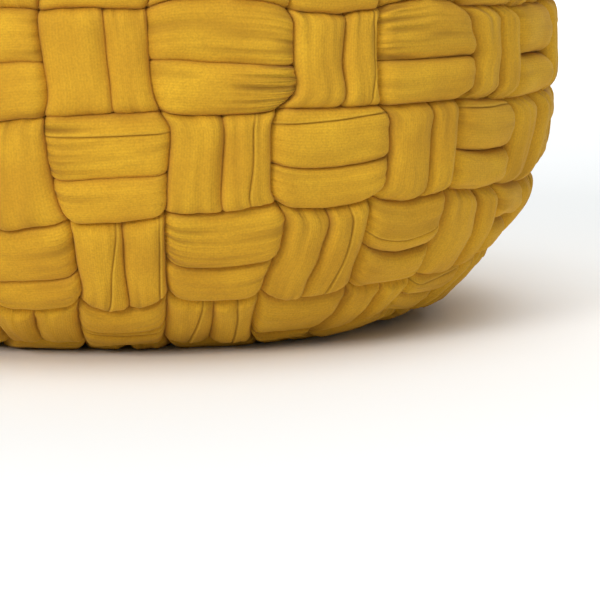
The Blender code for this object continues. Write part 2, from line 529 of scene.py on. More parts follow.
# %% [markdown]
# ## Seams
#
# Each tube is sewn shut along its length, with one edge of the cloth lapped over the other.
# The lap twists out of sight in places, where the tube turned while it was woven.  A table
# gives the seams that the photograph shows, and elsewhere chance decides where one comes up.
# Where a pair pulls hard on a tube, its cloth is gathered into sharper folds.

# %% Seams and gathers
SEAMS = (
    # column, row from the base, tube, start, middle, end
    (5, 3, 1, 0.77, 0.88, 0.66), (3, 2, 0, 0.30, 0.32, 0.33), (4, 2, 1, 0.57, 0.58, 0.50),
    (5, 2, 0, 0.27, 0.20, 0.14), (7, 2, 0, 0.18, 0.15, 0.08), (3, 1, 0, 0.88, 0.72, 0.53),
    (3, 1, 1, 0.88, 0.84, 0.80), (4, 1, 0, 0.96, 0.89, 0.90), (5, 1, 1, 0.52, 0.56, 0.50),
    (6, 1, 0, 0.70, 0.66, 0.60), (4, 0, 0, 0.75, 0.62, 0.50), (4, 0, 1, 0.53, 0.57, 0.53),
    (3, 0, 1, 0.05, 0.10, 0.14), (5, 0, 0, 0.78, 0.82, 0.76),
)
# How strongly a tube's cloth is gathered as it dives
GATHERS = (
    # column, row from the base, tube, start, middle, end
    (4, 3, 1, 0.0, 0.1, 1.2), (4, 3, 0, 0.0, 0.1, 0.3), (3, 2, 0, 0.4, 0.1, 0.0),
    (2, 1, 0, 0.0, 0.0, 0.15), (4, 1, 0, 0.3, 0.1, 0.1), (6, 3, 0, 0.5, 0.2, 0.0),
)
SEAM_CHANCE = 0.3
SEAM_SPREAD = 0.22       # how far from a tube's middle a chance seam comes up
SEAM_LEAN = 0.08         # and how far it leans
SEAM_MIDDLES = (0.1, 0.9)      # limits for the middle of a chance seam
SEAM_SHARES = (0.03, 0.97)     # and for every seam, so that it stays clear of the edges


def gather_knots(axis, pair, half):
    """How strongly a tube's cloth is gathered, round its loop."""
    knots = np.zeros(HALF_STEPS)
    for first, turned, (tube, *amounts) in table_rows(GATHERS, axis, pair):
        if (tube == half) != turned:
            lay_over(knots, first, amounts)
    return knots


def held_between(value, limits):
    """A value, or the limit that it is past."""
    return min(max(value, limits[0]), limits[1])


def place_seam(shares, shows, first, seam):
    """Lay a seam over one crossing, and run it straight on under the pairs on both sides."""
    start, middle, end = seam
    run = (2 * start - middle, start, middle, end, 2 * end - middle)
    lay_over(shares, first - 1, [held_between(share, SEAM_SHARES) for share in run])
    lay_over(shows, first, (1.0, 1.0, 1.0))


def seam_knots(axis, pair, half, wander):
    """Shares across a tube at which its seam runs, and how far it shows, round its loop."""
    shares = np.full(HALF_STEPS, 0.5)
    shows = np.zeros(HALF_STEPS)
    phase = pair_phase(axis, pair)
    for step in range(LOOP):
        shown = wander.random() < SEAM_CHANCE
        middle = held_between(wander.gauss(0.5, SEAM_SPREAD), SEAM_MIDDLES)
        lean = wander.gauss(0, SEAM_LEAN)
        if shown and (phase > 0) == (step % 2 == 0):
            place_seam(shares, shows, 2 * step, (middle - lean, middle, middle + lean))
    for first, *_ in table_rows(SPLITS, axis, pair):
        lay_over(shows, first, (0.0, 0.0, 0.0))
    for first, turned, (tube, *seam) in table_rows(SEAMS, axis, pair):
        if (tube == half) != turned:
            place_seam(shares, shows, first, [1 - share if turned else share for share in seam])
    return shares, shows


print(len(SEAMS), "seams and", len(GATHERS), "gathers placed by the tables")

# %% [markdown]
# ## Sags and loose places
#
# Stuffing settles, so a stuffed side is never quite even.  Pushing single points about would
# leave dents.  Here a few wide, soft hills and hollows move whole groups of tubes in or out.
# On the right the tubes are packed less tightly, and one more such hill says how loosely.

# %% Sags in the stuffing
SAGS = (
    # column, height, reach along the ring and up, and how far out, in millimetres
    (10.0, 88, 70, 12, -3.5),
    (9.9, 46, 70, 20, -6.0),
    (9.2, 12, 50, 10, 2.5),
    (9.0, 150, 28, 34, 2.5),
    (9.9, 240, 40, 40, 6.5),
    (6.4, 12, 55, 30, 2.5),
    (2.6, 8, 40, 16, 1.5),
)

# The tubes stay rounder around this place, given by its column, height and reaches too
LOOSE_AT = (8.9, 130, 130, 160)


def nearness(points, column, height, along_reach, up_reach):
    """1 at a place of the side, falling to nothing at some distance from it."""
    turn = 2 * math.pi * (column - PAIRS / 2) / COLUMNS
    middle = skin_radius(height * MILLIMETRE) * np.array((math.sin(turn), -math.cos(turn)))
    along = np.linalg.norm(points[..., :2] - middle, axis=-1) / (along_reach * MILLIMETRE)
    up = (points[..., 2] / MILLIMETRE - height) / up_reach
    return np.exp(-along ** 2 - up ** 2)


def sag_at(points):
    """How far the stuffed shape stands out from its even form at some points."""
    return sum(amount * MILLIMETRE * nearness(points, *place) for *place, amount in SAGS)


print("the largest sag is", max(abs(amount) for *_, amount in SAGS), "mm")

# %% [markdown]
# ## Where a flat tube's points stand
#
# The maker starts with a flat tube of jersey, and so does the script: a closed band of two
# layers on the skin, joined at its two edges.  An even grid would need far more points.
# These stand closer together where the shape turns most: near the tube's edges, at its seam
# and where it dives under another pair.

# %% Sections of a flat tube
OVER_STEPS = 18          # sections of a tube on a crossing where it is on top
UNDER_STEPS = 7          # and where it is under, out of sight
EVEN_SHARE = 0.2         # how evenly the sections are spaced; the rest crowds at the ends
EDGE_COLUMNS = 9         # points from a tube's edge to its seam
UNDER_SHARES = (0.88, 0.5, 0.12)             # points of the hidden lower layer
SEAM_MM = (-1.6, -0.5, 0.0, 0.45, 1.2, 3.2)  # points beside a seam, which keep it sharp
SEAM_MARGIN = 0.01       # share of the tube's width that stays free beside the seam's points


def loop_steps(phase):
    """Places of a tube's sections round its loop."""
    steps = []
    for crossing in range(LOOP):
        on_top = (phase > 0) == (crossing % 2 == 0)
        even = np.linspace(0, 1, OVER_STEPS if on_top else UNDER_STEPS, endpoint=False)
        crowded = (1 - np.cos(math.pi * even)) / 2
        steps.extend(crossing + EVEN_SHARE * even + (1 - EVEN_SHARE) * crowded)
    return np.array(steps)


def section_shares(seam, width):
    """Shares across the tube of each section's points, their layers and seam distances."""
    margin = np.array(SEAM_MM) * MILLIMETRE / width[:, None]
    least, most = SEAM_MARGIN - margin[:, :1], 1 - SEAM_MARGIN - margin[:, -1:]
    seam = np.clip(seam[:, None], least, most)
    rise = 1 - np.cos(np.linspace(0, math.pi / 2, EDGE_COLUMNS, endpoint=False))
    first = (seam + margin[:, :1]) * rise
    last = 1 - (1 - seam - margin[:, -1:]) * rise[::-1]
    below = np.tile(UNDER_SHARES, (len(width), 1))
    shares = np.concatenate([first, seam + margin, last, below], axis=1)
    layers = np.ones(shares.shape[1])
    layers[-len(UNDER_SHARES):] = -1
    layers[0] = layers[-len(UNDER_SHARES) - 1] = 0
    return shares, layers, (shares - seam) * width[:, None]


steps_of_one = loop_steps(1)
print(len(steps_of_one), "sections round a tube, from 0 to", round(steps_of_one[-1], 2))

# %% [markdown]
# ## The surface of a pair
#
# A pair could be laid straight between its two lines, but then a line that crosses it would
# bow on its neighbours and not on this pair, and gaps would open.  So each section also
# follows the bows of the lines that cross the pair there.

# %% Lay a pair on the skin


def skin_directions(grid):
    """Outward directions of a closed grid of skin points, from its neighbours' places."""
    along = np.roll(grid, -1, axis=0) - np.roll(grid, 1, axis=0)
    across = np.gradient(grid, axis=1)
    out = np.cross(along, across)
    out = out / np.linalg.norm(out, axis=-1, keepdims=True)
    facing = np.sum(out * (grid - CENTRE), axis=-1, keepdims=True)
    return out * np.sign(facing)


def crossing_bows(axis, pair, ruler):
    """How far each line that crosses a pair bows from the straight, at places across it."""
    bows = []
    for step in range(LOOP):
        ends = loop_place(axis, pair, step), loop_place(axis, pair + 1, step)
        points = np.array(shared_stretch(*ends))
        shares = np.linspace(0, 1, len(points))[:, None]
        straight = points[0] + (points[-1] - points[0]) * shares
        offsets = np.pad(points - straight, ((1, 1), (0, 0)))
        places = np.clip(ruler, 0, 1) * (len(points) - 1)
        index = np.minimum(np.floor(places).astype(int), len(points) - 2)
        four = (offsets[index + shift] for shift in range(4))
        bows.append(smooth_between(*four, (places - index)[:, None]))
    return np.array(bows)


def pair_surface(axis, pair, steps, ruler):
    """Skin points of a pair: between its own two lines, and in step with those that cross it."""
    first_edge = smooth_loop(lines[axis, pair], steps)
    second_edge = smooth_loop(lines[axis, pair + 1], steps)
    base = first_edge[:, None] + (second_edge - first_edge)[:, None] * ruler[:, None]
    bows = crossing_bows(axis, pair, ruler)
    crossing = np.floor(steps).astype(int)
    share = (steps - crossing)[:, None, None]
    base = base + bows[crossing] * (1 - share) + bows[(crossing + 1) % LOOP] * share
    return on_skin(base), np.linalg.norm(second_edge - first_edge, axis=1)


first_width = pair_surface(2, 3, steps_of_one, np.linspace(0, 1, 3))[1]
print(f"the middle ring pair is {1000 * first_width.mean():.0f} mm wide on average")

# %% [markdown]
# ## The cloth of one tube
#
# A tube's points carry what the stuffing and the finish need later: how far along the loop
# and how far across the tube they are, which layer they belong to, how loosely the tubes lie
# there, how far the seam is, and which way is out.  The cloth's own directions are kept in
# metres, as a UV map, so the knit can follow the tube.

# %% Build a band's mesh
CLOTH_SHIFT = 10.0       # metres between the maps of two tubes, so that no folds repeat


def set_points(mesh, name, values):
    """Store one value, or one direction, for each point of a mesh."""
    kind, key = ("FLOAT_VECTOR", "vector") if np.ndim(values) > 2 else ("FLOAT", "value")
    attribute = mesh.attributes.new(name, kind, "POINT")
    attribute.data.foreach_set(key, np.asarray(values, dtype=np.float32).reshape(-1))


def band_mesh(name, points, shares, layers, width):
    """Build the band's mesh, with its cloth directions as a UV map in metres."""
    count, columns = shares.shape
    mesh = bpy.data.meshes.new(name)
    row, column = np.meshgrid(np.arange(count), np.arange(columns), indexing="ij")
    corner_row = np.stack([row, row + 1, row + 1, row], axis=-1)
    corner_column = np.stack([column, column, column + 1, column + 1], axis=-1)
    faces = corner_row % count * columns + corner_column % columns
    mesh.from_pydata(points.reshape(-1, 3).tolist(), [], faces.reshape(-1, 4).tolist())
    stretch = np.linalg.norm(np.roll(points, -1, axis=0) - points, axis=-1).mean(axis=1)
    along_cloth = np.concatenate([[0.0], np.cumsum(stretch)])
    along_cloth = along_cloth + CLOTH_SHIFT * len(bpy.data.meshes)
    across_cloth = np.where(layers < 0, 2 - shares, shares) * width.mean()
    across_cloth = np.hstack([across_cloth, np.full((count, 1), 2 * width.mean())])
    cloth_places = np.stack([
        along_cloth[corner_row],
        across_cloth[corner_row % count, corner_column],
    ], axis=-1)
    cloth = mesh.uv_layers.new(name="cloth")
    cloth.data.foreach_set("uv", cloth_places.reshape(-1).astype(np.float32))
    return mesh


print("the cloth's map is in metres,", CLOTH_SHIFT, "m apart for each tube")

# %% [markdown]
# ## All the flat tubes
#
# Two tubes that only touched would show a slit between them.  Real ones press on each other,
# so a tube swells past its crease where it is on top, and draws in where it is under.  The
# squeeze is less where the tubes lie loosely.

# %% Lay the flat tubes
STEEPNESS = 6.0          # how steeply a tube dives at the end of a crossing
OVERLAP = 0.014          # share of a pair by which a tube swells past the crease in it
COVER = 0.012            # and past the pair's outer line, over the tubes that dive there
TUCK = 0.010             # share of a pair by which a tube draws in where it is under
LOOSE_RELIEF = 0.8       # how much of the swelling is gone where tubes lie loosely
RULER_PAST = 0.06        # how far past its two lines a pair's surface reaches
RULER_PLACES = 25
FAMILIES = {0: "front_to_back", 1: "side_to_side", 2: "ring"}


def tube_edges(half, level, tight, split, parting):
    """Shares of the pair's width where a tube's two edges lie."""
    swell = np.where(level > 0, OVERLAP * tight, TUCK) * level
    cover = np.where(level > 0, COVER, TUCK) * level
    if half == 0:
        return -cover, split - parting + swell
    return split + parting - swell, 1 + cover


def between_places(grid, ruler, places):
    """Values of a grid at places across the pair, from those at the ruler's places."""
    scaled = (places - ruler[0]) / (ruler[1] - ruler[0])
    index = np.clip(np.floor(scaled).astype(int), 0, len(ruler) - 2)
    part = (scaled - index)[..., None]
    rows = np.arange(len(grid))[:, None]
    return grid[rows, index] * (1 - part) + grid[rows, index + 1] * part


def flat_tube(name, axis, pair, half, splits, partings, seams):
    """The mesh of one flat tube: half 0 is the first of the pair, half 1 the second."""
    phase = pair_phase(axis, pair)
    steps = loop_steps(phase)
    ruler = np.linspace(-RULER_PAST, 1 + RULER_PAST, RULER_PLACES)
    surface, pair_width = pair_surface(axis, pair, steps, ruler)
    tight = 1 - LOOSE_RELIEF * nearness(surface[:, RULER_PLACES // 2], *LOOSE_AT)
    level = np.tanh(STEEPNESS * phase * np.sin(math.pi * steps))
    gathers = gather_knots(axis, pair, half)
    split, parting, seam, show, gather = (
        smooth_loop(knots, steps) for knots in (splits, partings, *seams, gathers))
    near, far = tube_edges(half, level, tight, split, parting)
    width = pair_width * (far - near)
    shares, layers, gaps = section_shares(seam, width)
    places = near[:, None] + (far - near)[:, None] * shares
    outward = skin_directions(surface)
    points = between_places(surface + outward * sag_at(surface)[..., None], ruler, places)
    mesh = band_mesh(name, points, shares, layers, width)
    set_points(mesh, "along", np.repeat(steps, len(layers)))
    set_points(mesh, "across", shares)
    set_points(mesh, "layer", np.tile(layers, len(steps)))
    set_points(mesh, "loose", nearness(points, *LOOSE_AT))
    set_points(mesh, "gather", np.repeat(gather, len(layers)))
    set_points(mesh, "seam_gap", gaps)
    set_points(mesh, "seam_show", np.repeat(np.clip(show, 0, 1), len(layers)))
    set_points(mesh, "outward", between_places(outward, ruler, places))
    return mesh


def flat_tubes():
    """All 42 flat tubes, with the phase of each."""
    wander = random.Random(SEED + 2)
    made = []
    for axis in range(3):
        for pair in range(PAIRS):
            splits = split_knots(axis, pair, wander)
            partings = parting_knots(axis, pair)
            for half in (0, 1):
                name = f"{FAMILIES[axis]}_tube_{pair + 1}_{'ab'[half]}"
                seams = seam_knots(axis, pair, half, wander)
                mesh = flat_tube(name, axis, pair, half, splits, partings, seams)
                made.append((name, mesh, pair_phase(axis, pair)))
    return made


tubes = flat_tubes()
print(len(tubes), "flat tubes,", len(tubes[0][1].vertices), "points each")

# %% [markdown]
# ## One function for nodes
#
# Both the shape and the finish below are node trees.  One small function adds a node, sets
# its settings, links its inputs and gives back one of its outputs.  Most nodes in a tree
# only do sums, so a kind in capitals stands for that sum of the Math node.  A few lines that
# both trees need are kept here too.

# %% A node with its settings and links


def add_node(tree, kind, *inputs, output=0, **settings):
    """Add a node and give one of its outputs.

    An input is a value or another node's output.  Inputs come in the node's own order, or
    as a dictionary by their names.
    """
    if kind.isupper():
        kind, settings = "ShaderNodeMath", {"operation": kind}
    node = tree.nodes.new(kind)
    for key, value in settings.items():
        setattr(node, key, value)
    by_name = inputs and isinstance(inputs[0], dict)
    for socket, value in (inputs[0].items() if by_name else enumerate(inputs)):
        if isinstance(value, bpy.types.NodeSocket):
            tree.links.new(value, node.inputs[socket])
        else:
            node.inputs[socket].default_value = value
    return node.outputs[output] if node.outputs else node


def bell(tree, distance, middle, reach):
    """A smooth bump that is 1 at its middle."""
    offset = add_node(tree, "DIVIDE", add_node(tree, "SUBTRACT", distance, middle), reach)
    squared = add_node(tree, "MULTIPLY", offset, offset)
    return add_node(tree, "EXPONENT", add_node(tree, "MULTIPLY", squared, -1.0))


def swing_of(tree, along):
    """A wave along the loop that is nothing where a crossing ends."""
    return add_node(tree, "SINE", add_node(tree, "MULTIPLY", along, math.pi))


def from_middle(tree, across):
    """How far across a tube a point is from its middle line, up to 1 at its edges."""
    return add_node(tree, "ABSOLUTE", add_node(tree, "MULTIPLY_ADD", across, 2.0, -1.0))


def linear(hex_colour):
    """An sRGB hex colour as linear red, green, blue and alpha, by the sRGB curve."""
    channels = [int(hex_colour[start:start + 2], 16) / 255 for start in (1, 3, 5)]
    return tuple(c / 12.92 if c <= 0.04045 else ((c + 0.055) / 1.055) ** 2.4 for c in channels) + (1.0,)


print("mustard in linear light:", [round(value, 3) for value in linear("#D8A42A")])

# %% [markdown]
# ## Mustard cotton jersey
#
# Jersey is a fine knit.  From a step away its wales are a faint ribbing along the tube, and
# stray fibres give a matt surface with a slight sheen at grazing angles.  Drawn over
# stuffing, it also has long soft folds, and sharper ones where it is gathered.  The pleats
# that change a tube's shape are modelled later, with its stuffing.  The finer folds and the
# knit would need far more points than they are worth, so a bump shows them.  They are drawn
# from the cloth's own UV map, which is in metres, so each has a real size.

# %% Folds and knit of the cloth
# Real wales are about 0.65 mm apart.  These are coarser, so that they show from a step away.
WALE_PITCH_MM = 1.3
COURSE_PITCH_MM = 1.6
COURSE_SHARE = 0.3           # height of the courses beside the wales
FOLD_MM = (55.0, 5.0)        # length and width of the soft folds
GATHER_MM = (45.0, 2.6)      # and of the gathers
FOLD_WANDERS = 30.0          # the folds wander over about 33 mm, so 30 times to a metre
FOLD_DETAIL = 0.6
FOLDS_AT_END = 1.1           # how high folds stand where the tube dives
FOLDS_LOST = 0.7             # and how much of it is gone on the crest
GATHER_HEIGHT = 3.6


def per_metre(length_mm, width_mm):
    """How often a pattern comes in a metre along and across the cloth."""
    return (1 / (length_mm * MILLIMETRE), 1 / (width_mm * MILLIMETRE), 1.0)


def ribs(tree, place, pitch_mm):
    """A wave with a real pitch along one direction of the cloth."""
    turn = add_node(tree, "MULTIPLY", place, 2 * math.pi / (pitch_mm * MILLIMETRE))
    return add_node(tree, "SINE", turn)


def knit_height(tree, cloth_place):
    """Wales along the tube, with fainter courses across it."""
    ways = add_node(tree, "ShaderNodeSeparateXYZ", cloth_place).node.outputs
    wales = ribs(tree, ways["Y"], WALE_PITCH_MM)
    return add_node(tree, "MULTIPLY_ADD", ribs(tree, ways["X"], COURSE_PITCH_MM), COURSE_SHARE, wales)


def fold_height(tree, place, cloth_place, carried):
    """Soft folds, highest where the tube dives, and gathers where its cloth is drawn in."""
    wander = add_node(tree, "ShaderNodeTexNoise", {
        "Vector": place, "Scale": FOLD_WANDERS, "Detail": 0.0}, output="Color")
    soft = add_node(tree, "ShaderNodeVectorMath", cloth_place, per_metre(*FOLD_MM), wander,
                    operation="MULTIPLY_ADD")
    sharp = add_node(tree, "ShaderNodeVectorMath", cloth_place, per_metre(*GATHER_MM),
                     operation="MULTIPLY")
    swings = []
    for where, detail in ((soft, FOLD_DETAIL), (sharp, 0.0)):
        noise = add_node(tree, "ShaderNodeTexNoise", {"Vector": where, "Scale": 1.0, "Detail": detail})
        swings.append(add_node(tree, "SUBTRACT", noise, 0.5))
    crest = add_node(tree, "ABSOLUTE", swing_of(tree, carried["along"]))
    held = add_node(tree, "MULTIPLY_ADD", crest, -FOLDS_LOST, FOLDS_AT_END)
    held = add_node(tree, "ADD", carried["gather"], held)
    drawn = add_node(tree, "MULTIPLY", swings[1], carried["gather"])
    return add_node(tree, "MULTIPLY_ADD", drawn, GATHER_HEIGHT,
                    add_node(tree, "MULTIPLY", swings[0], held))


print("folds come", [round(value) for value in per_metre(*FOLD_MM)[:2]], "times to a metre")

# %% [markdown]
# ## The dye and the shades on it
# One flat yellow would look like plastic.  Real dye is a little uneven and single fibres are
# darker.  Shade is painted over that: darker colour in the hollows of the folds, a faint dark
# stripe along the wales, and a warm shade at the tube's edges, in the creases, that stands in
# for light bouncing from cloth to cloth.  Each shade is mixed over the last by a share that the
# tree works out.  At a seam, painted shade in the groove and a painted highlight on the lapped
# edge beside it show the lap. At a
# seam, a thin dark line with a light edge beside it shows the lap.

# %% The cloth's finish
DEEP_DYE = "#C48E20"
LIGHT_DYE = "#E3B02A"
# Darker single fibres are the cloth's own; the same colour paints shade along the wales. The next three
# are painted shade, and the last a painted highlight at each seam.
FIBRE_AND_WALE_SHADE = "#94691A"
PAINTED_FOLD_SHADE = "#8C5F14"
PAINTED_CREASE_SHADE = "#8E5A3E"
PAINTED_SEAM_SHADE = "#6E4712"
PAINTED_SEAM_HIGHLIGHT = "#F0C548"
DYE_PATCHES = 28.0           # patches of dye are about 36 mm across, so 28 times to a metre
FIBRES = 900.0               # specks of single fibres, about 1.1 mm
FUZZ = 700.0                 # tufts of the fuzzy surface, about 1.4 mm
# Keeps the painted crease shade close to the tube's edges
CREASE_SHADE_POWER = 12.0          # keeps the crease's tint close to the tube's edges
# Place and reach of the painted shade in a seam's groove, in metres
SEAM_GROOVE_SHADE = (-0.0001, 0.0005)     # place and reach of the dark line beside a seam, in metres
# and of the painted highlight on its lapped edge
SEAM_LAP_HIGHLIGHT = (0.0010, 0.0005)     # and of the light edge
FOLD_BUMP = (0.9, 0.0030)         # strength, and height in metres
KNIT_BUMP = (0.12, 0.0002)
FUZZ_BUMP = (0.25, 0.0005)
FINISH_READS = ("along", "across", "gather", "seam_gap", "seam_show")
# Cotton spreads light evenly, and its fuzz glows a little where it is seen from the side
MATT = {
    "Roughness": 0.9,
    "Sheen Weight": 0.08,
    "Sheen Roughness": 0.5,
    "Sheen Tint": linear("#F2D38A"),
    "Specular IOR Level": 0.25,
}


def dyed(tree, place, folds, knit, carried):
    """The cloth's colour: uneven dye and fibres, then painted shade and highlights, each mixed over it.
    """
    patches = add_node(tree, "ShaderNodeTexNoise", {
        "Vector": place, "Scale": DYE_PATCHES, "Detail": 2.0})
    fibres = add_node(tree, "ShaderNodeTexNoise", {
        "Vector": place, "Scale": FIBRES, "Detail": 2.0})
    crease_shade_share = add_node(tree, "POWER", from_middle(tree, carried["across"]), CREASE_SHADE_POWER)
    groove_shade = bell(tree, carried["seam_gap"], *SEAM_GROOVE_SHADE)
    lap_highlight = bell(tree, carried["seam_gap"], *SEAM_LAP_HIGHLIGHT)
    shades = (
        # what the shade follows, its factor, what is added, and its colour
        (patches, 1.4, -0.2, LIGHT_DYE),
        (fibres, 0.9, -0.33, FIBRE_AND_WALE_SHADE),
        # painted shade in the hollows of the folds
        (folds, -1.6, 0.0, PAINTED_FOLD_SHADE),
        # painted shade: a faint darker stripe along the knit's wales
        (knit, 0.05, 0.05, FIBRE_AND_WALE_SHADE),
        # painted shade at the tube's edges, in the creases between tubes
        (crease_shade_share, 0.35, 0.0, PAINTED_CREASE_SHADE),
        # painted shade in the seam's groove
        (add_node(tree, "MULTIPLY", groove_shade, carried["seam_show"]), 0.45, 0.0, PAINTED_SEAM_SHADE),
        # painted highlight on the seam's lapped edge
        (add_node(tree, "MULTIPLY", lap_highlight, carried["seam_show"]), 0.15, 0.0, PAINTED_SEAM_HIGHLIGHT),
    )
    tone = linear(DEEP_DYE)
    for followed, factor, added, shade in shades:
        share = add_node(tree, "MULTIPLY_ADD", followed, factor, added)
        tone = add_node(tree, "ShaderNodeMix", {0: share, 6: tone, 7: linear(shade)},
                        data_type="RGBA", output=2)
    return tone


def jersey():
    """Cotton jersey, knitted by machine: matt, soft and faintly ribbed along the tube."""
    cloth = bpy.data.materials.new("mustard_cotton_jersey")
    cloth.use_nodes = True
    tree = cloth.node_tree
    shader = tree.nodes["Principled BSDF"]
    for name, value in MATT.items():
        shader.inputs[name].default_value = value
    carried = {name: add_node(tree, "ShaderNodeAttribute", attribute_name=name, output="Fac")
               for name in FINISH_READS}
    place = add_node(tree, "ShaderNodeTexCoord", output="Object")
    cloth_place = add_node(tree, "ShaderNodeUVMap", uv_map="cloth")
    folds = fold_height(tree, place, cloth_place, carried)
    knit = knit_height(tree, cloth_place)
    fuzz = add_node(tree, "ShaderNodeTexNoise", {"Vector": place, "Scale": FUZZ, "Detail": 1.0})
    tree.links.new(dyed(tree, place, folds, knit, carried), shader.inputs["Base Color"])
    under = {}
    for relief, (strength, height) in ((folds, FOLD_BUMP), (knit, KNIT_BUMP), (fuzz, FUZZ_BUMP)):
        bump = add_node(tree, "ShaderNodeBump", {
            "Strength": strength, "Distance": height, "Height": relief, **under})
        under = {"Normal": bump}
    tree.links.new(bump, shader.inputs["Normal"])
    return cloth


jersey_cloth = jersey()
print("made", jersey_cloth.name, "with", len(jersey_cloth.node_tree.nodes), "nodes")

# %% [markdown]
# ## Stuffing the tubes
#
# Stuffing turns the flat band into a tube that is flatter than it is wide.  Its section is a
# superellipse again.  Along the loop the tube rises over one pair and dives under the next,
# which is a wave with flat tops and steep sides.  Cloth simulation is a good way to fill one
# cushion, but 42 tubes that press on each other were judged too many for it.  Both forms
# follow rules, so Geometry Nodes do this for all the tubes with the same tree: only the phase,
# the seed and the floor's height differ.

# %% Sizes for the stuffing
STUFFING = {
    "Thickness": 0.021,
    "Loose Thickness": 0.007,     # what is added where the tubes lie loosely
    "Drop": 0.013,                # from the crest of a tube to where it is under
    "Steepness": STEEPNESS,
    "Loose Steepness": -3.2,      # and here too, as in each row that starts so
    "Fullness": 2.9,              # the section's exponent, again squarer if more
    "Loose Fullness": -0.6,
    "End Fullness": 2.5,          # what is added where a crossing ends
    "Lump Height": 0.0016,
    "Pleat Depth": 0.0010,
    "Lap Height": 0.0005,
    "Groove Depth": 0.0014,
}
STUFFING_READS = (*FINISH_READS, "layer", "loose")
LUMPS = 22.0                  # lumps of stuffing are about 45 mm across, so 22 times to a metre
NOISE_GAIN = 4.0              # the noise keeps close to its middle, so it is stretched
PLEATS_ALONG = 1.3            # how often pleats change along one crossing
PLEATS_ACROSS = 5.0           # and across one tube
PLEAT_SEED = 3.7              # turns a tube's seed into another one for its pleats
PLEATS_AT_END = 0.8           # how much stronger pleats are where a crossing ends
PLEATS_LEFT = 0.35            # how strong they are on the crest
GATHERED_PLEATS = 1.2         # and how much stronger where the cloth is gathered
LAP = (0.0009, 0.0010)        # place and reach of the lapped cloth beside the seam, in metres
GROOVE = (-0.0001, 0.00045)
SEAM_FADE = 3.0               # how fast a seam comes up as the tube rises


def centred_noise(tree, place, seed, scale, height):
    """Smooth chance heights around nothing, for a seed."""
    noise = add_node(tree, "ShaderNodeTexNoise", {
        "Vector": place, "W": seed, "Scale": scale, "Detail": 2.0}, noise_dimensions="4D")
    swing = add_node(tree, "SUBTRACT", noise, 0.5)
    return add_node(tree, "MULTIPLY", add_node(tree, "MULTIPLY", swing, height), NOISE_GAIN)


def near_end(tree, swing):
    """1 where a crossing ends, and nothing on its crest."""
    return add_node(tree, "SUBTRACT", 1.0, add_node(tree, "ABSOLUTE", swing))


print("a tube is", 1000 * STUFFING["Thickness"], "mm thick, and sinks", 1000 * STUFFING["Drop"], "mm")

# %% [markdown]
# ## Three heights above the skin
#
# A point's height is a sum of three: the rounded section of the tube, the wave that takes it
# over and under, and the small relief of the cloth itself.  Each is a function of its own,
# so each can be tried alone.

# %% Section, wave and relief


def section_rise(tree, given, carried, swing):
    """How far a point of the tube's section lies above the skin, without the tube's waves."""
    loose = carried["loose"]
    thick = add_node(tree, "MULTIPLY_ADD", loose, given["Loose Thickness"], given["Thickness"])
    half_thick = add_node(tree, "MULTIPLY", thick, 0.5)
    fullness = add_node(tree, "MULTIPLY_ADD", loose, given["Loose Fullness"], given["Fullness"])
    end = add_node(tree, "POWER", near_end(tree, swing), 2.0)
    squarer = add_node(tree, "MULTIPLY", add_node(tree, "SUBTRACT", 1.0, loose), given["End Fullness"])
    fullness = add_node(tree, "MULTIPLY_ADD", end, squarer, fullness)
    aside = from_middle(tree, carried["across"])
    left = add_node(tree, "SUBTRACT", 1.0, add_node(tree, "POWER", aside, fullness))
    left = add_node(tree, "MAXIMUM", left, 0.0)
    round_off = add_node(tree, "POWER", left, add_node(tree, "DIVIDE", 1.0, fullness))
    rise = add_node(tree, "MULTIPLY", round_off, half_thick)
    bulge = add_node(tree, "MULTIPLY", rise, carried["layer"])
    return add_node(tree, "SUBTRACT", bulge, half_thick)


def weave_level(tree, given, carried, swing):
    """How far the tube has sunk below its crest."""
    steepness = add_node(
        tree, "MULTIPLY_ADD", carried["loose"], given["Loose Steepness"], given["Steepness"])
    steep = add_node(tree, "TANH", add_node(tree, "MULTIPLY", swing, steepness))
    sunk = add_node(tree, "SUBTRACT", add_node(tree, "MULTIPLY", steep, given["Phase"]), 1.0)
    return add_node(tree, "MULTIPLY", sunk, add_node(tree, "MULTIPLY", given["Drop"], 0.5))


def seam_height(tree, given, carried, swing):
    """The lapped edge of a seam and the groove beside it, which fade where the tube dives."""
    gap = carried["seam_gap"]
    lap = add_node(tree, "MULTIPLY", bell(tree, gap, *LAP), given["Lap Height"])
    groove = add_node(tree, "MULTIPLY", bell(tree, gap, *GROOVE), given["Groove Depth"])
    seam = add_node(tree, "SUBTRACT", lap, groove)
    seam = add_node(tree, "MULTIPLY", seam, carried["seam_show"])
    up = add_node(tree, "MULTIPLY", add_node(tree, "ABSOLUTE", swing), SEAM_FADE)
    return add_node(tree, "MULTIPLY", seam, add_node(tree, "MINIMUM", up, 1.0))


